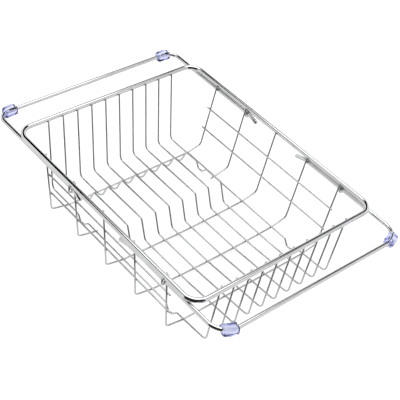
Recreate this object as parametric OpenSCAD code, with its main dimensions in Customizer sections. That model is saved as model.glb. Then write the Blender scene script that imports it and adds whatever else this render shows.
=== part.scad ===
// Dish drying rack: a welded wire basket with two sliding arms that span the sink.
// Millimetres. Origin under the middle of the rim, on the table; +X right, +Y rear, +Z up.
// Every wire is a run of straight rods joined by true circular bends.

/* [Rim] */
// Outside length of the rim, left to right
rim_length = 314.6; // [280:0.1:360]
// Outside width of the rim, front to rear
rim_width = 263.4; // [220:0.1:300]
// Height of the rim wire's centre above the table
rim_z = 98.6; // [80:0.1:130]
// Diameter of the rim wire
rim_wire = 6; // [4:0.5:8]
// Centreline radius of the rim's four corners
rim_corner = 17; // [10:1:40]

/* [Basket wires] */
// Diameter of the wires that make the walls and the floor
grid_wire = 2.2; // [1.5:0.1:3]
// Number of long wires that run left to right
long_count = 10; // [10:1:10]
// Spacing of the long wires
long_pitch = 20; // [15:0.5:25]
// Spacing of the five stations where cross wires run front to rear
station_pitch = 52.8; // [40:0.1:60]
// Shift of all five stations to the right
station_shift = 1.6; // [0:0.1:4]
// How far the wire tips stand above the rim's centre
tip_rise = 1; // [0:0.1:3]
// Depth of every weld, where one wire is fused into the next
weld = 0.2; // [0.1:0.05:0.4]

/* [Walls and floor] */
// Left wall: distance of its foot from the middle
left_foot_x = 135.6; // [120:0.1:150]
// Right wall: distance of its foot from the middle
right_foot_x = 144.6; // [120:0.1:150]
// Height of the long wires at the foot of the right wall
right_foot_z = 11.4; // [8:0.1:15]
// Bend radius at the foot of the end walls
end_bend = 7; // [4:0.5:15]
// Front and rear wall: distance of the foot from the middle
side_foot_y = 113.4; // [100:0.1:125]
// Height of the cross wires at the foot of the front and rear wall
side_foot_z = 11.6; // [8:0.1:15]
// Bend radius at the foot of the front and rear wall
side_bend = 6; // [3:0.5:12]
// Height of the cross wires under the outermost long wires
floor_edge_z = 6.6; // [5:0.1:10]
// Height of the crossing tangents of the dished cross wires
floor_dish_z = 2; // [2:0.1:5]
// Bend radius of the dished cross wires
dish_bend = 1680; // [500:10:1700]
// Height of the rightmost cross wire's level floor
right_floor_z = 7.2; // [7:0.1:7.4]

/* [Raised run for plates] */
// Foot of the ramp, left of the middle
ramp_foot_x = 93; // [85:0.1:110]
// Top of the ramp, left of the middle
ramp_top_x = 83.2; // [70:0.1:90]
// Concave bend at the foot of the ramp
ramp_bend = 13; // [5:0.5:20]
// Height of the raised run
raised_z = 32.6; // [25:0.1:40]
// Right end of the raised run, left of the middle
step_top_x = 19.3; // [10:0.1:30]
// Foot of the step, left of the middle
step_foot_x = 8.9; // [0:0.1:15]
// Bend at the two top corners of the raised run
crest_bend = 3; // [2:0.5:8]
// Bend at the foot of the step
step_bend = 6; // [3:0.5:10]

/* [Feet] */
// Start of the left foot, left of the middle
left_foot_start = 83.4; // [70:0.1:95]
// Start of the right foot, right of the middle
right_foot_start = 78.8; // [70:0.1:95]
// Bend radius of the four bends of a foot
foot_bend = 2.8; // [1.5:0.1:4]

/* [Side rails] */
// Height of the upper side rail
upper_rail_z = 66.2; // [50:0.1:80]
// Height of the lower side rail
lower_rail_z = 37.2; // [25:0.1:48]
// How far a rail runs past the outermost cross wires
rail_overrun = 4; // [2:0.5:8]

/* [Sliding arms] */
// Diameter of the arm rod
arm_rod = 5; // [4:0.5:6]
// Clear gap between the rim and the arm rod under it
arm_gap = 0.5; // [0.5:0.1:3]
// Distance of an arm's two side rods from the middle
arm_side_y = 127.9; // [127.6:0.1:128.4]
// Distance of the left end rod from the middle as drawn
left_reach = 195.2; // [190:0.1:196]
// Distance of the right end rod's front corner from the middle as drawn
right_reach_front = 195.2; // [190:0.1:250]
// Distance of the right end rod's rear corner from the middle as drawn
right_reach_rear = 198.4; // [190:0.1:250]
// Corner radius of the left arm
left_arm_corner = 14; // [10:1:16]
// Corner radius of the right arm
right_arm_corner = 22; // [12:1:24]
// Distance of the left arm's end bends from the middle
left_tail_x = 47.2; // [30:0.1:47.6]
// Distance of the right arm's end bends from the middle
right_tail_x = 50.5; // [40:0.1:100]
// Length of an end bend, seen from above
arm_tail_run = 14.4; // [10:0.1:20]
// Drop of an end bend
arm_tail_drop = 4.2; // [3:0.1:12]
// Bend radius of an end bend
arm_tail_bend = 4; // [3:0.5:8]

/* [Guide loops] */
// Gap between a guide loop and the arm rod, under the rod
guide_gap = 0.8; // [0.7:0.05:1.2]
// Offset of a guide loop from its cross wire
guide_offset = 2.6; // [2.5:0.1:6]

/* [Grips] */
// Length of a grip along the end rod
grip_length = 16; // [12:0.5:25]
// Width of a grip across the end rod
grip_width = 12; // [10:0.1:20]
// Height of a grip
grip_height = 11.6; // [10:0.1:20]
// Bevel along the edges of a grip
grip_bevel = 2.4; // [1:0.1:4]
// Width of the slot along the top of a grip
grip_slot = 2.4; // [1:0.1:4]
// Distance of the left grips from the middle, front to rear
left_grip_y = 112.5; // [100:0.5:118]
// Distance of the right grips from the middle, front to rear
right_grip_y = 115.5; // [100:0.5:118]
// Turn of the left grips, where they follow the bend of the rod
left_grip_turn = 4; // [0:1:10]
// Turn of the right grips, where they follow the bend of the rod
right_grip_turn = 14; // [0:1:16]

/* [Hidden] */
grid_r = grid_wire / 2;
rim_r = rim_wire / 2;
rim_x = rim_length / 2 - rim_r;
rim_y = rim_width / 2 - rim_r;
swell = 0.03;
tuck_in = 0.3;
wire_facets = 16;
bend_facets = 48;
stack = grid_wire - weld;
tip_z = rim_z + tip_rise;
tip_x = rim_x - rim_r - grid_r + weld;
tip_y = rim_y - rim_r - grid_r + weld;
edge_wire_y = long_pitch * (long_count - 1) / 2;
shoulder_bend = 12;
rise_bend = 60;
half_wire_end = 86;
shoulder_slope = (side_foot_z - floor_edge_z) / (side_foot_y - edge_wire_y);
half_wire_z = floor_edge_z - (edge_wire_y - half_wire_end) * shoulder_slope;
foot_z = grid_r + swell;
foot_fall_run = 5.2;
foot_sole_run = 6.6;
foot_rise_run = 7;
wall_lean = (tip_y - side_foot_y) / (tip_z - side_foot_z);
arm_r = arm_rod / 2;
arm_z = rim_z - rim_r - arm_gap - arm_r;
guide_half = arm_r + guide_gap + grid_r;
guide_bend = guide_half - 0.3;
guide_top = rim_r + grid_r - 0.1;
slip = 0.005;
grip_drop = 0.3;

function unit(v) = v / norm(v);
function turn(a, b, c) =
    let (u = unit(b - a), v = unit(c - b)) atan2(u[0] * v[1] - u[1] * v[0], u * v);
function inner(p, i) = i > 0 && i < len(p) - 1;
function setback(p, b, i) = inner(p, i) ? b[i] * tan(abs(turn(p[i - 1], p[i], p[i + 1])) / 2) : 0;
function tuck(p, i) = inner(p, i) ? tuck_in : 0;
function station_x(k) = (k - 3) * station_pitch + station_shift;
function long_y(n) = (n - 1) * long_pitch - edge_wire_y;
// Height of the dished cross wires at a distance y from the middle.
function dish_z(y) = let (low = dish_low()) low + (floor_edge_z - low) * pow(y / edge_wire_y, 2);
function dish_low() =
    let (fall = atan2(floor_edge_z - floor_dish_z, edge_wire_y))
    floor_dish_z + dish_bend * (1 / cos(fall) - 1);
function wall_y(z) = side_foot_y + wall_lean * (z - side_foot_z);
// Where a long wire at height z leaves the level floor and starts to rise to the right wall.
function rise_x(z) =
    let (rise_z = right_floor_z + stack, run = right_foot_x - station_x(5))
    station_x(5) - (rise_z - z) * run / (right_foot_z - rise_z);
// Corner of arm s (-1 left, 1 right) on side t (-1 front, 1 rear).
function right_corner_x(t) = t < 0 ? right_reach_front : right_reach_rear;
function corner_x(s, t) = s < 0 ? -left_reach : right_corner_x(t);
function tail_x(s) = s < 0 ? left_tail_x : right_tail_x;
function arm_corner(s) = s < 0 ? left_arm_corner : right_arm_corner;
// The end rod of arm s at a distance y from the middle.
function end_x(s, y) =
    let (front = corner_x(s, -1), rear = corner_x(s, 1))
    front + (rear - front) * (y + arm_side_y) / (2 * arm_side_y);
// How far arm s has turned inwards at y, near its corners.
function turned_in(s, y) =
    let (r = arm_corner(s), past = max(0, abs(y) - (arm_side_y - r)))
    r - sqrt(r * r - past * past);

// One straight rod from a to b.
module rod(a, b, r) {
    way = unit(b - a);
    translate([a[0], a[1], 0])
        rotate([0, 0, atan2(way[1], way[0])])
            rotate([0, 90, 0]) cylinder(h = norm(b - a), r = r, $fn = wire_facets);
}

// One circular bend at corner b of the path a, b, c.
module bend(a, b, c, radius, r) {
    angle = turn(a, b, c);
    side = angle > 0 ? 1 : -1;
    way = unit(b - a);
    start = b - way * radius * tan(abs(angle) / 2);
    middle = start + [-way[1], way[0]] * radius * side;
    translate([middle[0], middle[1], 0])
        rotate([0, 0, atan2(way[1], way[0]) - 90 * side + min(angle, 0)])
            rotate_extrude(angle = abs(angle), $fn = bend_facets)
                translate([radius, 0]) circle(r = r + swell, $fn = wire_facets);
}

// A wire along the corners p, with bend radii b, in the XY plane.
module wire(p, b, r) {
    for (i = [0 : len(p) - 2]) {
        way = unit(p[i + 1] - p[i]);
        rod(
            p[i] + way * (setback(p, b, i) - tuck(p, i)),
            p[i + 1] - way * (setback(p, b, i + 1) - tuck(p, i + 1)),
            r
        );
    }
    for (i = [1 : len(p) - 2]) {
        bend(p[i - 1], p[i], p[i + 1], b[i], r);
    }
}

// Stands a wire up in the plane y = const, so its path reads as [x, z].
module along_x(y) {
    translate([0, y, 0]) rotate([90, 0, 0]) children();
}

// Stands a wire up in the plane x = const, so its path reads as [y, z].
module along_y(x) {
    translate([x, 0, 0]) rotate([90, 0, 90]) children();
}

module rim() {
    straight_x = rim_x - rim_corner;
    straight_y = rim_y - rim_corner;
    color("silver")
    translate([0, 0, rim_z])
    union() {
        for (s = [-1, 1]) {
            rod([-straight_x - tuck_in, s * rim_y], [straight_x + tuck_in, s * rim_y], rim_r);
            rod([s * rim_x, -straight_y - tuck_in], [s * rim_x, straight_y + tuck_in], rim_r);
            for (t = [-1, 1]) {
                bend([0, s * rim_y], [t * rim_x, s * rim_y], [t * rim_x, 0], rim_corner, rim_r);
            }
        }
    }
}

// Long wires 2 to 9: wall, ramp, raised run, step, floor, wall.
module plate_wire(n) {
    y = long_y(n);
    left_z = floor_edge_z + stack;
    floor_z = dish_z(y) + stack;
    path = [
        [-tip_x, tip_z],
        [-left_foot_x, left_z],
        [-ramp_foot_x, left_z],
        [-ramp_top_x, raised_z],
        [-step_top_x, raised_z],
        [-step_foot_x, floor_z],
        [rise_x(floor_z), floor_z],
        [right_foot_x, right_foot_z],
        [tip_x, tip_z]
    ];
    bends = [0, end_bend, ramp_bend, crest_bend, crest_bend, step_bend, rise_bend, end_bend, 0];
    color("silver") along_x(y) wire(path, bends, grid_r);
}

// Long wires 1 and 10: wall, floor with two feet pressed into it, wall.
module foot_wire(n) {
    z = floor_edge_z + stack;
    left_x = -left_foot_start;
    right_x = right_foot_start;
    sole_from = foot_fall_run;
    sole_to = foot_fall_run + foot_sole_run;
    foot_to = foot_fall_run + foot_sole_run + foot_rise_run;
    path = [
        [-tip_x, tip_z],
        [-left_foot_x, z],
        [left_x, z],
        [left_x + sole_from, foot_z],
        [left_x + sole_to, foot_z],
        [left_x + foot_to, z],
        [right_x, z],
        [right_x + sole_from, foot_z],
        [right_x + sole_to, foot_z],
        [right_x + foot_to, z],
        [right_foot_x, right_foot_z],
        [tip_x, tip_z]
    ];
    f = foot_bend;
    bends = [0, end_bend, f, f, f, f, f, f, f, f, end_bend, 0];
    color("silver") along_x(long_y(n)) wire(path, bends, grid_r);
}

// Cross wires with a dished floor (stations 3 and 4).
module dished_cross_wire(k) {
    path = [
        [-tip_y, tip_z],
        [-side_foot_y, side_foot_z],
        [-edge_wire_y, floor_edge_z],
        [0, floor_dish_z],
        [edge_wire_y, floor_edge_z],
        [side_foot_y, side_foot_z],
        [tip_y, tip_z]
    ];
    bends = [0, side_bend, shoulder_bend, dish_bend, shoulder_bend, side_bend, 0];
    color("silver") along_y(station_x(k)) wire(path, bends, grid_r);
}

// The cross wires at the left and right end, with a level floor at height z.
module level_cross_wire(k, z) {
    path = [
        [-tip_y, tip_z],
        [-side_foot_y, side_foot_z],
        [-edge_wire_y, z],
        [edge_wire_y, z],
        [side_foot_y, side_foot_z],
        [tip_y, tip_z]
    ];
    bends = [0, side_bend, shoulder_bend, shoulder_bend, side_bend, 0];
    color("silver") along_y(station_x(k)) wire(path, bends, grid_r);
}

// A cross wire that stops just past the outermost long wire (s = -1 front, 1 rear).
module half_cross_wire(k, s) {
    path = [[s * tip_y, tip_z], [s * side_foot_y, side_foot_z], [s * half_wire_end, half_wire_z]];
    color("silver") along_y(station_x(k)) wire(path, [0, side_bend, 0], grid_r);
}

module side_rail(s, z) {
    color("silver")
    translate([0, s * (wall_y(z) - stack), z])
    rod([station_x(1) - rail_overrun, 0], [station_x(5) + rail_overrun, 0], grid_r);
}

// A U that hangs from the rim and carries an arm rod. Its legs lean in to the rod.
module guide_loop(k, s) {
    low_z = arm_z - guide_half;
    path = [
        [s * (rim_y - guide_top), rim_z],
        [s * (arm_side_y - guide_half), low_z],
        [s * (arm_side_y + guide_half), low_z],
        [s * (rim_y + guide_top), rim_z]
    ];
    color("silver") along_y(station_x(k) + guide_offset) wire(path, [0, guide_bend, guide_bend, 0], grid_r);
}

// The U-shaped rod of arm s, with a bent-down tail at each end.
module arm_path(s, r) {
    vertex = s * tail_x(s);
    tail_end = vertex - s * arm_tail_run;
    turn_in = arm_tail_bend * tan(atan2(arm_tail_drop, arm_tail_run) / 2);
    start = vertex + s * (turn_in - tuck_in);
    path = [
        [start, -arm_side_y],
        [corner_x(s, -1), -arm_side_y],
        [corner_x(s, 1), arm_side_y],
        [start, arm_side_y]
    ];
    translate([0, 0, arm_z])
    union() {
        wire(path, [0, arm_corner(s), arm_corner(s), 0], r);
        for (t = [-1, 1]) {
            along_x(t * arm_side_y)
                tail([vertex + s, 0], [vertex, 0], [tail_end, -arm_tail_drop], r);
        }
    }
}

// The bent-down end of an arm rod: a bend at b and a straight end to c.
module tail(a, b, c, r) {
    way = unit(c - b);
    back = arm_tail_bend * tan(abs(turn(a, b, c)) / 2) - tuck_in;
    bend(a, b, c, arm_tail_bend, r);
    rod(b + way * back, c, r);
}

module arm(s) {
    color("silver") arm_path(s, arm_r);
}

// Outline of a grip seen along the end rod, with the slot in its top.
module grip_outline() {
    w = grip_width / 2;
    h = grip_height / 2;
    e = grip_bevel;
    difference() {
        polygon([
            [-w, e - h], [e - w, -h], [w - e, -h], [w, e - h],
            [w, h - e], [w - e, h], [e - w, h], [-w, h - e]
        ]);
        translate([-grip_slot / 2, arm_r - 1]) square([grip_slot, h]);
    }
}

// A grip pushed onto the end rod of arm s, on side t (-1 front, 1 rear).
module grip(s, t) {
    y = t * (s < 0 ? left_grip_y : right_grip_y);
    yaw = s * t * (s < 0 ? left_grip_turn : right_grip_turn);
    x = end_x(s, y) - s * turned_in(s, y);
    color("lightsteelblue")
    difference() {
        translate([x, y, arm_z - grip_drop])
            rotate([0, 0, yaw])
                translate([0, grip_length / 2, 0])
                    rotate([90, 0, 0]) linear_extrude(height = grip_length) grip_outline();
        arm_path(s, arm_r - slip);
    }
}

rim();
foot_wire(1);  // long_wire_1
plate_wire(2);  // long_wire_2
plate_wire(3);  // long_wire_3
plate_wire(4);  // long_wire_4
plate_wire(5);  // long_wire_5
plate_wire(6);  // long_wire_6
plate_wire(7);  // long_wire_7
plate_wire(8);  // long_wire_8
plate_wire(9);  // long_wire_9
foot_wire(10);  // long_wire_10
level_cross_wire(1, floor_edge_z);  // cross_wire_1
half_cross_wire(2, -1);  // cross_wire_2_front
half_cross_wire(2, 1);  // cross_wire_2_rear
dished_cross_wire(3);  // cross_wire_3
dished_cross_wire(4);  // cross_wire_4
level_cross_wire(5, right_floor_z);  // cross_wire_5
side_rail(-1, upper_rail_z);  // side_rail_front_upper
side_rail(-1, lower_rail_z);  // side_rail_front_lower
side_rail(1, upper_rail_z);  // side_rail_rear_upper
side_rail(1, lower_rail_z);  // side_rail_rear_lower
guide_loop(2, -1);  // guide_loop_front_left
guide_loop(5, -1);  // guide_loop_front_right
guide_loop(2, 1);  // guide_loop_rear_left
guide_loop(5, 1);  // guide_loop_rear_right
arm(-1);  // arm_left
arm(1);  // arm_right
grip(-1, -1);  // grip_left_front
grip(-1, 1);  // grip_left_rear
grip(1, -1);  // grip_right_front
grip(1, 1);  // grip_right_rear
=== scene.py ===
"""Dish drying rack: a welded stainless wire basket with two sliding arms and clear blue grips.

Every wire is a swept tube with cut ends, every crossing has its weld bead, and each grip is a
slotted clear sleeve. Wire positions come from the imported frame, and the bends between them are
the design's own dimensions. Lengths are in millimetres, except that materials and the studio
use metres.
"""
import math
import random

import bmesh
import bpy
from mathutils import Matrix, Vector


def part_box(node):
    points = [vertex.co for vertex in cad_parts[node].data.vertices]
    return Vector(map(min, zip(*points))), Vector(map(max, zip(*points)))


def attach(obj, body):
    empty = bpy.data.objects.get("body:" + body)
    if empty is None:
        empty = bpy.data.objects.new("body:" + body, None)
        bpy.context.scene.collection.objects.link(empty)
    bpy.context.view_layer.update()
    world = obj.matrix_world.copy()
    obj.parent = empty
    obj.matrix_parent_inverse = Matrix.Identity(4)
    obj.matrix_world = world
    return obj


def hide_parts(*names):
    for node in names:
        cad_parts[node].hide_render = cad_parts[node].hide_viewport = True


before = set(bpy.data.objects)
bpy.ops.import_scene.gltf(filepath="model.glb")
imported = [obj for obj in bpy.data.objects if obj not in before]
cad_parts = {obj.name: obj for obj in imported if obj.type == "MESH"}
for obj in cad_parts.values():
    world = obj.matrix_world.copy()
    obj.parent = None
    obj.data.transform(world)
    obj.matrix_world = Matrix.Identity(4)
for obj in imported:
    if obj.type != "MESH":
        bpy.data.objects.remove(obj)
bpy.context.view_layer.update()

MM = 0.001
SEED = 11

# How the wires are joined and cut. The design's bends are SWELL thicker than its straight rods.
WELD = 0.2
SWELL = 0.03
TIP_RISE = 1.0
WIRE_CHAMFER = 0.25
ROD_CHAMFER = 0.5
CHAMFER_SHOULDER = 0.3

# Bend radii
END_BEND = 7.0
SIDE_BEND = 6.0
SHOULDER_BEND = 12.0
DISH_BEND = 1680.0
CREST_BEND = 3.0
RAMP_BEND = 13.0
STEP_BEND = 6.0
FOOT_BEND = 2.8
RISE_BEND = 60.0
RIM_CORNER = 17.0

# Walls and floor
LEFT_FOOT_X = 135.6
RIGHT_FOOT_X = 144.6
RIGHT_FOOT_Z = 11.4
SIDE_FOOT_Y = 113.4
SIDE_FOOT_Z = 11.6
FLOOR_EDGE_Z = 6.6
FLOOR_DISH_Z = 2.0
RIGHT_FLOOR_Z = 7.2
HALF_WIRE_END = 86.0

# Raised run for plates
RAMP_FOOT_X = 93.0
RAMP_TOP_X = 83.2
RAISED_Z = 32.6
STEP_TOP_X = 19.3
STEP_FOOT_X = 8.9

# Feet
LEFT_FOOT_START = 83.4
RIGHT_FOOT_START = 78.8
FOOT_FALL_RUN = 5.2
FOOT_SOLE_RUN = 6.6
FOOT_RISE_RUN = 7.0

# Sliding arms
ARM_R = 2.5
ARM_SIDE_Y = 127.9
ARM_CORNER = {"arm_left": 14.0, "arm_right": 22.0}
RIGHT_REACH_FRONT = 195.2
RIGHT_REACH_REAR = 198.4
TAIL_X = {"arm_left": 47.2, "arm_right": 50.5}
TAIL_RUN = 14.4
TAIL_DROP = 4.2
TAIL_BEND = 4.0

# Guide loops
GUIDE_GAP = 0.8
GUIDE_EASE = 0.3
GUIDE_SINK = 0.1

# Grips. The powers square off the section and the ends: 2 would make them round. At its ends a
# sleeve's outside stays centred on the bent rod, and in the middle only as far as GRIP_FOLLOW.
GRIP_LENGTH = 16.0
GRIP_WIDTH = 12.0
GRIP_TURN = {"arm_left": 4.0, "arm_right": 14.0}
GRIP_SLOT = 2.4
GRIP_LIP = 0.36
GRIP_BORE_GAP = 0.02
GRIP_POWER = 3.2
GRIP_END_POWER = 4.5
GRIP_END_SIZE = 0.70
GRIP_FOLLOW = 0.5
GRIP_SECTION_STEPS = 44
GRIP_ROWS = 18

# Weld beads: half sizes along the first wire, along the second and outwards
CROSSING_BEAD = (1.25, 1.25, 0.62)
TIP_BEAD = (1.9, 0.75, 1.15)
BEAD_UNEVENNESS = 0.12
TIP_BEAD_DROP = 0.2
GUIDE_BEAD_DROP = 0.9

# How finely the wires are divided
WIRE_SIDES = 14
ROD_SIDES = 20
ARC_STEP = math.radians(7.0)
FEWEST_ARC_STEPS = 3
WIDE_BEND = 200.0
WIDE_BEND_STEPS = 16
STRAIGHT_TURN = 1e-4
NEARLY_UPRIGHT = 0.9
LEAST_STEP = 1e-6
RIM_STEP = 20.0
RAIL_STEP = 30.0
ARM_STEP = 25.0
GRIP_STEP = 1.0

LONG_WIRES = [f"long_wire_{n}" for n in range(1, 11)]
CROSS_WIRES = [
    "cross_wire_1",
    "cross_wire_2_front",
    "cross_wire_2_rear",
    "cross_wire_3",
    "cross_wire_4",
    "cross_wire_5",
]
DISHED_WIRES = ["cross_wire_3", "cross_wire_4"]
SIDE_RAILS = [
    "side_rail_front_upper",
    "side_rail_front_lower",
    "side_rail_rear_upper",
    "side_rail_rear_lower",
]
GUIDES = [
    "guide_loop_front_left",
    "guide_loop_front_right",
    "guide_loop_rear_left",
    "guide_loop_rear_right",
]

X_AXIS = Vector((1, 0, 0))
Y_AXIS = Vector((0, 1, 0))
Z_AXIS = Vector((0, 0, 1))


# ------------------------------------------------------------------ sizes from the frame
def box_mm(node):
    """Lowest and highest corner of a CAD node, in millimetres."""
    low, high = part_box(node)
    return Vector(low) / MM, Vector(high) / MM


def middle(node):
    low, high = box_mm(node)
    return (low + high) / 2


rim_low, rim_high = box_mm("rim")
RIM_R = (rim_high.z - rim_low.z) / 2
RIM_X = rim_high.x - RIM_R
RIM_Y = rim_high.y - RIM_R
RIM_Z = middle("rim").z
rail_low, rail_high = box_mm("side_rail_front_upper")
WIRE_R = (rail_high.z - rail_low.z) / 2
LAP = 2 * WIRE_R - WELD
EDGE_Y = middle("long_wire_10").y
STATIONS = [middle(node).x for node in CROSS_WIRES if node != "cross_wire_2_rear"]
TIP_X = RIM_X - RIM_R - WIRE_R + WELD
TIP_Y = RIM_Y - RIM_R - WIRE_R + WELD
TIP_Z = RIM_Z + TIP_RISE
GUIDE_HALF = ARM_R + GUIDE_GAP + WIRE_R
GUIDE_BEND = GUIDE_HALF - GUIDE_EASE
GUIDE_TOP = RIM_R + WIRE_R - GUIDE_SINK


# ------------------------------------------------------------------ paths
def arc_points(before, corner, after, radius):
    """Points of the circular bend of the given radius at a corner, both ends included."""
    u = (before - corner).normalized()
    v = (after - corner).normalized()
    turn = math.pi - u.angle(v)
    if radius <= 0 or turn < STRAIGHT_TURN:
        return [corner.copy()]
    back = radius * math.tan(turn / 2)
    centre = corner + (u + v).normalized() * (radius / math.cos(turn / 2))
    first = (corner + u * back) - centre
    last = (corner + v * back) - centre
    steps = max(FEWEST_ARC_STEPS, math.ceil(turn / ARC_STEP))
    if radius > WIDE_BEND:
        steps = WIDE_BEND_STEPS
    points = []
    for k in range(steps + 1):
        s = k / steps
        blend = (math.sin((1 - s) * turn) * first + math.sin(s * turn) * last) / math.sin(turn)
        points.append(centre + blend)
    return points


def rounded(corners, radii):
    """The polyline through the corners, with each inner corner replaced by its bend."""
    corners = [Vector(c) for c in corners]
    points = [corners[0]]
    for k in range(1, len(corners) - 1):
        points += arc_points(corners[k - 1], corners[k], corners[k + 1], radii[k])
    points.append(corners[-1])
    return points


def split_long_runs(points, longest):
    """Adds points along straight runs so that no step is longer than `longest`."""
    out = [points[0]]
    for a, b in zip(points, points[1:]):
        pieces = max(1, math.ceil((b - a).length / longest))
        for k in range(1, pieces + 1):
            out.append(a.lerp(b, k / pieces))
    return out


def path_point_at(path, axis, value):
    """Point and direction where a path first reaches a value along an axis (0, 1 or 2)."""
    for a, b in zip(path, path[1:]):
        low, high = sorted((a[axis], b[axis]))
        if low <= value <= high and abs(a[axis] - b[axis]) > LEAST_STEP:
            s = (value - a[axis]) / (b[axis] - a[axis])
            return a.lerp(b, s), (b - a).normalized()
    return None, None


def transported(points, closed):
    """Tangent and side vector at each point, turned as little as possible along the path."""
    count = len(points)
    tangents = []
    for k in range(count):
        if closed:
            a, b = points[k - 1], points[(k + 1) % count]
        else:
            a, b = points[max(k - 1, 0)], points[min(k + 1, count - 1)]
        tangents.append((b - a).normalized())
    start = Z_AXIS if abs(tangents[0].z) < NEARLY_UPRIGHT else X_AXIS
    side = (start - tangents[0] * start.dot(tangents[0])).normalized()
    sides = [side]
    for k in range(1, count):
        side = tangents[k - 1].rotation_difference(tangents[k]) @ side
        side = (side - tangents[k] * side.dot(tangents[k])).normalized()
        sides.append(side)
    return tangents, sides


# ------------------------------------------------------------------ meshes
def finish_mesh(name, bm, material):
    """Turns a bmesh in millimetres into a smooth-shaded object in metres."""
    bmesh.ops.recalc_face_normals(bm, faces=bm.faces)
    mesh = bpy.data.meshes.new(name)
    bm.to_mesh(mesh)
    bm.free()
    mesh.transform(Matrix.Scale(MM, 4))
    for polygon in mesh.polygons:
        polygon.use_smooth = True
    mesh.materials.append(material)
    obj = bpy.data.objects.new(name, mesh)
    bpy.context.scene.collection.objects.link(obj)
    return obj


def ring_at(bm, centre, tangent, side, radius, sides):
    other = tangent.cross(side)
    ring = []
    for k in range(sides):
        a = 2 * math.pi * k / sides
        ring.append(bm.verts.new(centre + (side * math.cos(a) + other * math.sin(a)) * radius))
    return ring


def bridge(bm, first, second):
    count = len(first)
    for k in range(count):
        n = (k + 1) % count
        bm.faces.new((first[k], first[n], second[n], second[k]))


def cap(bm, ring):
    """Closes a ring with a fan of triangles."""
    centre = bm.verts.new(sum((v.co for v in ring), Vector()) / len(ring))
    for k in range(len(ring)):
        bm.faces.new((ring[k], ring[(k + 1) % len(ring)], centre))


def closed_tube(bm, points, radius, sides):
    """Sweeps a round section along a closed loop of points."""
    tangents, frames = transported(points, closed=True)
    rings = [ring_at(bm, p, t, s, radius, sides) for p, t, s in zip(points, tangents, frames)]
    for k in range(len(rings)):
        bridge(bm, rings[k], rings[(k + 1) % len(rings)])


def open_tube(bm, points, radius, sides, chamfer):
    """Sweeps a round section along the points. The ends are cut square with a small chamfer."""
    tangents, frames = transported(points, closed=False)
    shoulder = chamfer * CHAMFER_SHOULDER
    steps = [(0.0, radius - chamfer), (shoulder, radius - shoulder), (chamfer, radius)]
    ends = []
    for end, sign in ((0, 1), (-1, -1)):
        inward = tangents[end] * sign
        ends.append(
            [
                ring_at(bm, points[end] + inward * d, tangents[end], frames[end], r, sides)
                for d, r in steps
            ]
        )
    body = [
        ring_at(bm, points[k], tangents[k], frames[k], radius, sides)
        for k in range(1, len(points) - 1)
    ]
    chain = ends[0] + body + ends[1][::-1]
    for a, b in zip(chain, chain[1:]):
        bridge(bm, a, b)
    cap(bm, chain[0])
    cap(bm, chain[-1])


def wire_object(name, points, radius, sides, material, chamfer=WIRE_CHAMFER):
    bm = bmesh.new()
    open_tube(bm, points, radius, sides, chamfer)
    return finish_mesh(name, bm, material)


# ------------------------------------------------------------------ materials, in metres
HANDLING_SCALE = 0.06
HANDLED_TONE = 0.90


def new_material(name):
    material = bpy.data.materials.new(name)
    material.use_nodes = True
    nodes = material.node_tree.nodes
    return material, nodes, material.node_tree.links, nodes["Principled BSDF"]


def noise(nodes, links, scale, detail):
    """Value of a noise that lies still in the object's own space."""
    place_node = nodes.new("ShaderNodeTexCoord")
    field = nodes.new("ShaderNodeTexNoise")
    field.inputs["Scale"].default_value = scale
    field.inputs["Detail"].default_value = detail
    links.new(place_node.outputs["Object"], field.inputs["Vector"])
    return field.outputs["Fac"]


def vary_roughness(nodes, links, shader, value, over, between):
    """Roughness goes between two figures as the value goes over its range."""
    spread = nodes.new("ShaderNodeMapRange")
    spread.inputs["From Min"].default_value = over[0]
    spread.inputs["From Max"].default_value = over[1]
    spread.inputs["To Min"].default_value = between[0]
    spread.inputs["To Max"].default_value = between[1]
    links.new(value, spread.inputs["Value"])
    links.new(spread.outputs["Result"], shader.inputs["Roughness"])


def vary_colour(nodes, links, shader, value, over, between):
    """Base colour goes between two colours as the value goes over its range."""
    tone = nodes.new("ShaderNodeValToRGB")
    for element, position, colour in zip(tone.color_ramp.elements, over, between):
        element.position = position
        element.color = (*colour, 1)
    links.new(value, tone.inputs["Fac"])
    links.new(tone.outputs["Color"], shader.inputs["Base Color"])


def add_bump(nodes, links, shader, value, strength, distance):
    bump = nodes.new("ShaderNodeBump")
    bump.inputs["Strength"].default_value = strength
    bump.inputs["Distance"].default_value = distance
    links.new(value, bump.inputs["Height"])
    links.new(bump.outputs["Normal"], shader.inputs["Normal"])


def drawn_steel(name, colour, roughness, streak, pitting, scale):
    """Bright drawn stainless wire: faint handling marks, uneven polish and fine pitting."""
    material, nodes, links, shader = new_material(name)
    shader.inputs["Metallic"].default_value = 1.0
    fine = noise(nodes, links, scale, detail=6.0)
    broad = noise(nodes, links, scale * HANDLING_SCALE, detail=3.0)
    polish = (roughness * (1 - streak), roughness * (1 + streak))
    vary_roughness(nodes, links, shader, broad, over=(0.3, 0.7), between=polish)
    dulled = [c * HANDLED_TONE for c in colour]
    vary_colour(nodes, links, shader, broad, over=(0.35, 0.65), between=(dulled, colour))
    add_bump(nodes, links, shader, fine, pitting, distance=0.00004)
    return material


def weld_metal():
    """Resistance weld: duller, slightly heat-tinted and rough."""
    material, nodes, links, shader = new_material("weld")
    shader.inputs["Metallic"].default_value = 1.0
    grain = noise(nodes, links, scale=900.0, detail=5.0)
    burnt, bright = (0.06, 0.06, 0.06), (0.24, 0.235, 0.23)
    vary_colour(nodes, links, shader, grain, over=(0.3, 0.7), between=(burnt, bright))
    vary_roughness(nodes, links, shader, grain, over=(0.0, 1.0), between=(0.3, 0.55))
    add_bump(nodes, links, shader, grain, strength=0.6, distance=0.0001)
    return material


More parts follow.
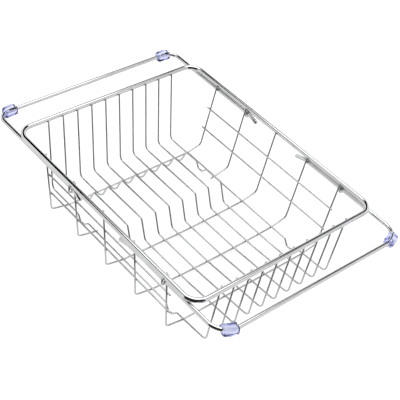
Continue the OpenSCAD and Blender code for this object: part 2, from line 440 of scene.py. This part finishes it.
def clear_blue_plastic():
    """Soft clear plastic: nearly colourless at its skin, bluer the deeper the light goes."""
    material, nodes, links, shader = new_material("clear_blue_plastic")
    shader.inputs["IOR"].default_value = 1.4
    shader.inputs["Transmission Weight"].default_value = 1.0
    cloud = noise(nodes, links, scale=160.0, detail=4.0)
    lilac, pale = (0.90, 0.905, 0.97), (0.95, 0.955, 0.99)
    vary_colour(nodes, links, shader, cloud, over=(0.35, 0.65), between=(lilac, pale))
    vary_roughness(nodes, links, shader, cloud, over=(0.3, 0.7), between=(0.03, 0.09))
    add_bump(nodes, links, shader, cloud, strength=0.2, distance=0.0002)
    tint = nodes.new("ShaderNodeVolumeAbsorption")
    tint.inputs["Color"].default_value = (0.58, 0.61, 0.95, 1)
    tint.inputs["Density"].default_value = 80.0
    links.new(tint.outputs["Volume"], nodes["Material Output"].inputs["Volume"])
    return material


BRIGHT_ROD = {"roughness": 0.08, "streak": 0.35, "pitting": 0.25, "scale": 700.0}
GRID_WIRE = {"roughness": 0.16, "streak": 0.40, "pitting": 0.45, "scale": 900.0}
RIM_STEEL = drawn_steel("rim_steel", (0.85, 0.855, 0.86), **BRIGHT_ROD)
WIRE_STEEL = drawn_steel("wire_steel", (0.70, 0.705, 0.71), **GRID_WIRE)
ARM_STEEL = drawn_steel("arm_steel", (0.83, 0.835, 0.84), **BRIGHT_ROD)
WELD_METAL = weld_metal()
GRIP_PLASTIC = clear_blue_plastic()


def place(obj, body, slot, *nodes):
    """Rides the piece on its body and hides the plain solids it stands for."""
    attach(obj, body)
    if nodes:
        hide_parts(*nodes)


# ------------------------------------------------------------------ basket wires
def dish_z(y):
    """Height of the dished cross wires at a distance y from the middle."""
    fall = math.atan2(FLOOR_EDGE_Z - FLOOR_DISH_Z, EDGE_Y)
    low = FLOOR_DISH_Z + DISH_BEND * (1 / math.cos(fall) - 1)
    return low + (FLOOR_EDGE_Z - low) * (y / EDGE_Y) ** 2


def rise_x(z):
    """Where a long wire at height z leaves the level floor and rises to the right wall."""
    rise_z = RIGHT_FLOOR_Z + LAP
    return STATIONS[4] - (rise_z - z) * (RIGHT_FOOT_X - STATIONS[4]) / (RIGHT_FOOT_Z - rise_z)


def plate_wire_path(y):
    """Long wires 2 to 9: wall, ramp, raised run, step, floor, wall."""
    left_z = FLOOR_EDGE_Z + LAP
    floor_z = dish_z(y) + LAP
    corners = [
        (-TIP_X, y, TIP_Z),
        (-LEFT_FOOT_X, y, left_z),
        (-RAMP_FOOT_X, y, left_z),
        (-RAMP_TOP_X, y, RAISED_Z),
        (-STEP_TOP_X, y, RAISED_Z),
        (-STEP_FOOT_X, y, floor_z),
        (rise_x(floor_z), y, floor_z),
        (RIGHT_FOOT_X, y, RIGHT_FOOT_Z),
        (TIP_X, y, TIP_Z),
    ]
    radii = [0, END_BEND, RAMP_BEND, CREST_BEND, CREST_BEND, STEP_BEND, RISE_BEND, END_BEND, 0]
    return rounded(corners, radii)


def foot_wire_path(y):
    """Long wires 1 and 10: wall, floor with two feet pressed into it, wall."""
    z = FLOOR_EDGE_Z + LAP
    sole_z = box_mm("long_wire_1")[0].z + WIRE_R + SWELL
    corners = [(-TIP_X, y, TIP_Z), (-LEFT_FOOT_X, y, z)]
    for start in (-LEFT_FOOT_START, RIGHT_FOOT_START):
        sole_from = start + FOOT_FALL_RUN
        sole_to = sole_from + FOOT_SOLE_RUN
        corners += [
            (start, y, z),
            (sole_from, y, sole_z),
            (sole_to, y, sole_z),
            (sole_to + FOOT_RISE_RUN, y, z),
        ]
    corners += [(RIGHT_FOOT_X, y, RIGHT_FOOT_Z), (TIP_X, y, TIP_Z)]
    radii = [0, END_BEND] + [FOOT_BEND] * 8 + [END_BEND, 0]
    return rounded(corners, radii)


def is_foot_wire(node):
    return node in (LONG_WIRES[0], LONG_WIRES[-1])


def long_wire_path(node):
    y = middle(node).y
    return foot_wire_path(y) if is_foot_wire(node) else plate_wire_path(y)


def full_cross_wire_path(node):
    """A cross wire that runs from the front wall to the rear wall, dished or level."""
    x = middle(node).x
    edge_z = RIGHT_FLOOR_Z if node == "cross_wire_5" else FLOOR_EDGE_Z
    corners = [(x, -TIP_Y, TIP_Z), (x, -SIDE_FOOT_Y, SIDE_FOOT_Z), (x, -EDGE_Y, edge_z)]
    radii = [0, SIDE_BEND, SHOULDER_BEND]
    if node in DISHED_WIRES:
        corners.append((x, 0, FLOOR_DISH_Z))
        radii.append(DISH_BEND)
    corners += [(x, EDGE_Y, edge_z), (x, SIDE_FOOT_Y, SIDE_FOOT_Z), (x, TIP_Y, TIP_Z)]
    radii += [SHOULDER_BEND, SIDE_BEND, 0]
    return rounded(corners, radii)


def half_cross_wire_path(node, s):
    """A cross wire that stops just past the outermost long wire (s = -1 front, 1 rear)."""
    x = middle(node).x
    slope = (SIDE_FOOT_Z - FLOOR_EDGE_Z) / (SIDE_FOOT_Y - EDGE_Y)
    end_z = FLOOR_EDGE_Z - (EDGE_Y - HALF_WIRE_END) * slope
    corners = [
        (x, s * TIP_Y, TIP_Z),
        (x, s * SIDE_FOOT_Y, SIDE_FOOT_Z),
        (x, s * HALF_WIRE_END, end_z),
    ]
    return rounded(corners, [0, SIDE_BEND, 0])


def cross_wire_path(node):
    if "_2_" in node:
        return half_cross_wire_path(node, -1 if "front" in node else 1)
    return full_cross_wire_path(node)


def rail_path(node):
    low, high = box_mm(node)
    m = middle(node)
    return split_long_runs([Vector((low.x, m.y, m.z)), Vector((high.x, m.y, m.z))], RAIL_STEP)


def guide_path(node):
    """A U that hangs from the rim. Its legs lean in to the arm rod."""
    low, high = box_mm(node)
    m = middle(node)
    s = 1 if m.y > 0 else -1
    foot_z = low.z + WIRE_R
    corners = [
        (m.x, s * (RIM_Y - GUIDE_TOP), high.z),
        (m.x, s * (ARM_SIDE_Y - GUIDE_HALF), foot_z),
        (m.x, s * (ARM_SIDE_Y + GUIDE_HALF), foot_z),
        (m.x, s * (RIM_Y + GUIDE_TOP), high.z),
    ]
    return rounded(corners, [0, GUIDE_BEND, GUIDE_BEND, 0])


def build_rim():
    corners = [(-RIM_X, -RIM_Y), (RIM_X, -RIM_Y), (RIM_X, RIM_Y), (-RIM_X, RIM_Y)]
    points = []
    for k in range(4):
        before, corner, after = (Vector((*corners[(k + j) % 4], RIM_Z)) for j in (-1, 0, 1))
        bend = arc_points(before, corner, after, RIM_CORNER)
        if points:
            points += split_long_runs([points[-1], bend[0]], RIM_STEP)[1:-1]
        points += bend
    points += split_long_runs([points[-1], points[0]], RIM_STEP)[1:-1]
    bm = bmesh.new()
    closed_tube(bm, points, RIM_R, ROD_SIDES)
    rim = finish_mesh("rim_wire", bm, RIM_STEEL)
    place(rim, "basket", "rim", "rim")


def build_grid_wires(nodes, path_of, ending):
    for node in nodes:
        wire = wire_object(f"{node}_{ending}", path_of(node), WIRE_R, WIRE_SIDES, WIRE_STEEL)
        place(wire, "basket", "grid_wire", node)


# ------------------------------------------------------------------ welds
def weld_bead(bm, centre, axis_a, axis_b, size, rng):
    """A small squashed bead where two wires are fused. axis_a and axis_b run along the wires."""
    out = axis_a.cross(axis_b).normalized()
    a = axis_a.normalized()
    b = out.cross(a).normalized()
    made = bmesh.ops.create_icosphere(bm, subdivisions=2, radius=1.0)["verts"]
    for vert in made:
        x, y, z = vert.co
        swell = 1 + BEAD_UNEVENNESS * rng.uniform(-1, 1)
        vert.co = centre + a * x * size[0] * swell + b * y * size[1] * swell + out * z * size[2]


def build_welds():
    rng = random.Random(SEED)
    bm = bmesh.new()
    touch = WIRE_R - WELD / 2
    for node in LONG_WIRES:
        y = middle(node).y
        path = long_wire_path(node)
        for k, x in enumerate(STATIONS):
            if k == 1 and not is_foot_wire(node):
                continue
            point, along = path_point_at(path, 0, x)
            weld_bead(bm, point - Z_AXIS * touch, along, Y_AXIS, CROSSING_BEAD, rng)
        for s in (-1, 1):
            contact = Vector((s * (TIP_X + touch), y, RIM_Z - TIP_BEAD_DROP))
            weld_bead(bm, contact, Y_AXIS, Z_AXIS, TIP_BEAD, rng)
    for x in STATIONS:
        for s in (-1, 1):
            contact = Vector((x, s * (TIP_Y + touch), RIM_Z - TIP_BEAD_DROP))
            weld_bead(bm, contact, X_AXIS, Z_AXIS, TIP_BEAD, rng)
    for node in SIDE_RAILS:
        m = middle(node)
        s = -1 if m.y < 0 else 1
        for x in STATIONS:
            contact = Vector((x, m.y + s * touch, m.z))
            weld_bead(bm, contact, X_AXIS, Z_AXIS, CROSSING_BEAD, rng)
    for node in GUIDES:
        m = middle(node)
        side = 1 if m.y > 0 else -1
        for s in (-1, 1):
            contact = Vector((m.x, side * RIM_Y + s * RIM_R, RIM_Z - GUIDE_BEAD_DROP))
            weld_bead(bm, contact, X_AXIS, Z_AXIS, CROSSING_BEAD, rng)
    place(finish_mesh("weld_beads", bm, WELD_METAL), "basket", "grid_wire")


# ------------------------------------------------------------------ arms and grips
def arm_side(node):
    """-1 for the left arm, 1 for the right one."""
    return -1 if middle(node).x < 0 else 1


def corner_x(node, t):
    """Corner of an arm on side t: -1 front, 1 rear."""
    if arm_side(node) < 0:
        return box_mm(node)[0].x + ARM_R
    return RIGHT_REACH_FRONT if t < 0 else RIGHT_REACH_REAR


def arm_path(node):
    s = arm_side(node)
    z = box_mm(node)[1].z - ARM_R - SWELL
    vertex = s * TAIL_X[node]
    tail_end = vertex - s * TAIL_RUN
    corners = [
        (tail_end, -ARM_SIDE_Y, z - TAIL_DROP),
        (vertex, -ARM_SIDE_Y, z),
        (corner_x(node, -1), -ARM_SIDE_Y, z),
        (corner_x(node, 1), ARM_SIDE_Y, z),
        (vertex, ARM_SIDE_Y, z),
        (tail_end, ARM_SIDE_Y, z - TAIL_DROP),
    ]
    bend = ARM_CORNER[node]
    return rounded(corners, [0, TAIL_BEND, bend, bend, TAIL_BEND, 0])


def build_arm(side):
    node = f"arm_{side}"
    path = split_long_runs(arm_path(node), ARM_STEP)
    arm = wire_object(f"{node}_rod", path, ARM_R, ROD_SIDES, ARM_STEEL, ROD_CHAMFER)
    place(arm, f"{side}_arm", "arm_rod", node)


def grip_profile(half_w, half_h):
    """Outer and inner points of the slotted sleeve's section, from one slot edge to the other."""
    bore = ARM_R + GRIP_BORE_GAP
    edge = math.asin(GRIP_SLOT / 2 / bore)
    power = GRIP_POWER
    outer, inner = [], []
    for k in range(GRIP_SECTION_STEPS + 1):
        a = math.pi / 2 - edge - (2 * math.pi - 2 * edge) * k / GRIP_SECTION_STEPS
        c, s = math.cos(a), math.sin(a)
        r = (abs(c / half_w) ** power + abs(s / half_h) ** power) ** (-1 / power)
        inner.append((bore * c, bore * s))
        outer.append((r * c, r * s))
    slot_top = outer[0][1] - GRIP_LIP
    outer[0] = (GRIP_SLOT / 2, slot_top)
    outer[-1] = (-GRIP_SLOT / 2, slot_top)
    return outer, inner


def build_grip(side, end):
    """A slotted sleeve with rounded ends, whose bore follows the bend of the rod."""
    node = f"grip_{side}_{end}"
    arm = f"arm_{side}"
    m = middle(node)
    low, high = box_mm(node)
    t = 1 if m.y > 0 else -1
    turn = Matrix.Rotation(math.radians(arm_side(arm) * t * GRIP_TURN[arm]), 4, "Z")
    to_world = Matrix.Translation(m) @ turn
    rod = [to_world.inverted() @ p for p in split_long_runs(arm_path(arm), GRIP_STEP)]
    near = [p for p in rod if abs(p.x) < GRIP_LENGTH]
    outer, inner = grip_profile(GRIP_WIDTH / 2, (high.z - low.z) / 2)
    bm = bmesh.new()
    grid_outer, grid_inner = [], []
    for j in range(GRIP_ROWS + 1):
        along = -math.cos(math.pi * j / GRIP_ROWS)
        v = GRIP_LENGTH / 2 * along
        core, _ = path_point_at(near, 1, v)
        close = (1 - abs(along) ** GRIP_END_POWER) ** (1 / GRIP_END_POWER)
        shrink = GRIP_END_SIZE + (1 - GRIP_END_SIZE) * close
        shift = core.x * (1 - (1 - GRIP_FOLLOW) * close)
        grid_inner.append(
            [bm.verts.new(to_world @ Vector((core.x + x, v, core.z + z))) for x, z in inner]
        )
        grid_outer.append(
            [bm.verts.new(to_world @ Vector((shift + x * shrink, v, z * shrink))) for x, z in outer]
        )
    steps = GRIP_SECTION_STEPS
    for j in range(GRIP_ROWS):
        out_a, out_b = grid_outer[j], grid_outer[j + 1]
        in_a, in_b = grid_inner[j], grid_inner[j + 1]
        for k in range(steps):
            bm.faces.new((out_a[k], out_a[k + 1], out_b[k + 1], out_b[k]))
            bm.faces.new((in_a[k], in_b[k], in_b[k + 1], in_a[k + 1]))
        for k in (0, steps):
            bm.faces.new((out_a[k], out_b[k], in_b[k], in_a[k]))
    for j in (0, GRIP_ROWS):
        out, core = grid_outer[j], grid_inner[j]
        for k in range(steps):
            bm.faces.new((out[k], out[k + 1], core[k + 1], core[k]))
    grip = finish_mesh(f"{node}_sleeve", bm, GRIP_PLASTIC)
    place(grip, f"{side}_arm", "grip", node)


# ------------------------------------------------------------------ studio, in metres
FLOOR_HALF = 6.0
FLOOR_TONE = 0.65
FLOOR_GLOW = 0.5
STUDIO_RADIUS = 4.0
CARD_STEPS = 48
LAMP_SIZE = 1.6
LAMP_POWER = 9.0
LAMP_PLACE = (-0.3, 0.3, 1.9)
CAMERA_PLACE = Vector((0.59873, -0.6275, 0.83009))
CAMERA_AZIMUTH = math.radians(42.803)
CAMERA_ELEVATION = math.radians(41.781)
CAMERA_ROLL = math.radians(10.38)
SENSOR = 36.0
FRAME_PIXELS = 400.0
FOCAL_PIXELS = 1027.24
FAR_CLIP = 20.0


def stage_object(name, verts, faces, material):
    mesh = bpy.data.meshes.new(name)
    mesh.from_pydata(verts, [], faces)
    mesh.materials.append(material)
    obj = bpy.data.objects.new(name, mesh)
    bpy.context.scene.collection.objects.link(obj)
    return obj


def build_floor():
    """A plain pale floor that glows a little, which keeps the wires' shadows faint."""
    material, _, _, shader = new_material("floor_white")
    shader.inputs["Base Color"].default_value = (FLOOR_TONE, FLOOR_TONE, FLOOR_TONE, 1)
    shader.inputs["Roughness"].default_value = 0.6
    shader.inputs["Emission Color"].default_value = (1, 1, 1, 1)
    shader.inputs["Emission Strength"].default_value = FLOOR_GLOW
    h = FLOOR_HALF
    corners = [(-h, -h, 0), (h, -h, 0), (h, h, 0), (-h, h, 0)]
    floor = stage_object("floor", corners, [(0, 1, 2, 3)], material)
    floor.visible_glossy = False


def card_material(name, strength):
    """Plain white light of the given strength."""
    material, _, _, shader = new_material(name)
    shader.inputs["Base Color"].default_value = (0, 0, 0, 1)
    shader.inputs["Roughness"].default_value = 0.6
    shader.inputs["Specular IOR Level"].default_value = 0.0
    shader.inputs["Emission Color"].default_value = (1, 1, 1, 1)
    shader.inputs["Emission Strength"].default_value = strength
    return material


def dome_card(name, elevations, azimuths, strength, nearer=1.0, through_plastic=False):
    """A card on the studio's dome, between two elevations and two azimuths in degrees.

    Only polished metal sees it, and clear plastic too where through_plastic is true.
    """
    radius = STUDIO_RADIUS * nearer
    first, last = azimuths
    verts, faces = [], []
    for k in range(CARD_STEPS + 1):
        a = math.radians(first + (last - first) * k / CARD_STEPS)
        for elevation in elevations:
            e = math.radians(elevation)
            flat = radius * math.cos(e)
            verts.append((flat * math.cos(a), flat * math.sin(a), radius * math.sin(e)))
    for k in range(CARD_STEPS):
        faces.append((2 * k, 2 * k + 2, 2 * k + 3, 2 * k + 1))
    card = stage_object(name, verts, faces, card_material(f"{name}_tone", strength))
    card.visible_camera = False
    card.visible_diffuse = False
    card.visible_shadow = False
    card.visible_volume_scatter = False
    card.visible_transmission = through_plastic


def build_cards():
    """What polished wire mirrors: a white table, grey walls and the dark cards that line it."""
    all_round = (-180, 180)
    dome_card("table_tone", (-89, 0), all_round, 0.8)
    dome_card("horizon_ring", (0, 12), all_round, 0.65)
    dome_card("dark_band", (32, 55), all_round, 0.0, through_plastic=True)
    dome_card("right_band", (32, 55), (12, 82), 0.45, nearer=0.95)
    dome_card("front_flag", (-54, 64), (-95, 5), 0.02, nearer=0.9)


def build_lights():
    world = bpy.data.worlds.new("studio")
    bpy.context.scene.world = world
    world.use_nodes = True
    background = world.node_tree.nodes["Background"]
    background.inputs["Color"].default_value = (1, 1, 1, 1)
    background.inputs["Strength"].default_value = 1.0
    lamp = bpy.data.lights.new("overhead_softbox", "AREA")
    lamp.shape = "RECTANGLE"
    lamp.size = LAMP_SIZE
    lamp.size_y = LAMP_SIZE
    lamp.energy = LAMP_POWER
    holder = bpy.data.objects.new("overhead_softbox", lamp)
    holder.location = LAMP_PLACE
    bpy.context.scene.collection.objects.link(holder)


def build_camera():
    """A camera at CAMERA_PLACE that looks along its azimuth and elevation, with some roll."""
    forward = Vector(
        (
            -math.sin(CAMERA_AZIMUTH) * math.cos(CAMERA_ELEVATION),
            math.cos(CAMERA_AZIMUTH) * math.cos(CAMERA_ELEVATION),
            -math.sin(CAMERA_ELEVATION),
        )
    )
    right = Vector((math.cos(CAMERA_AZIMUTH), math.sin(CAMERA_AZIMUTH), 0))
    up = right.cross(forward)
    rolled_right = right * math.cos(CAMERA_ROLL) + up * math.sin(CAMERA_ROLL)
    rolled_up = up * math.cos(CAMERA_ROLL) - right * math.sin(CAMERA_ROLL)
    turn = Matrix((rolled_right, rolled_up, -forward)).transposed().to_4x4()
    data = bpy.data.cameras.new("photo_view")
    data.sensor_fit = "HORIZONTAL"
    data.sensor_width = SENSOR
    data.lens = FOCAL_PIXELS / FRAME_PIXELS * SENSOR
    data.clip_end = FAR_CLIP
    camera = bpy.data.objects.new("photo_view", data)
    camera.matrix_world = Matrix.Translation(CAMERA_PLACE) @ turn
    bpy.context.scene.collection.objects.link(camera)
    bpy.context.scene.camera = camera


build_rim()
build_grid_wires(LONG_WIRES, long_wire_path, "drawn")
build_grid_wires(CROSS_WIRES, cross_wire_path, "drawn")
build_grid_wires(SIDE_RAILS, rail_path, "drawn")
build_grid_wires(GUIDES, guide_path, "bent")
build_welds()
for side in ("left", "right"):
    build_arm(side)
for side in ("left", "right"):
    build_grip(side, "front")
    build_grip(side, "rear")
build_floor()
build_cards()
build_lights()
build_camera()
bpy.context.scene.view_settings.view_transform = "Standard"
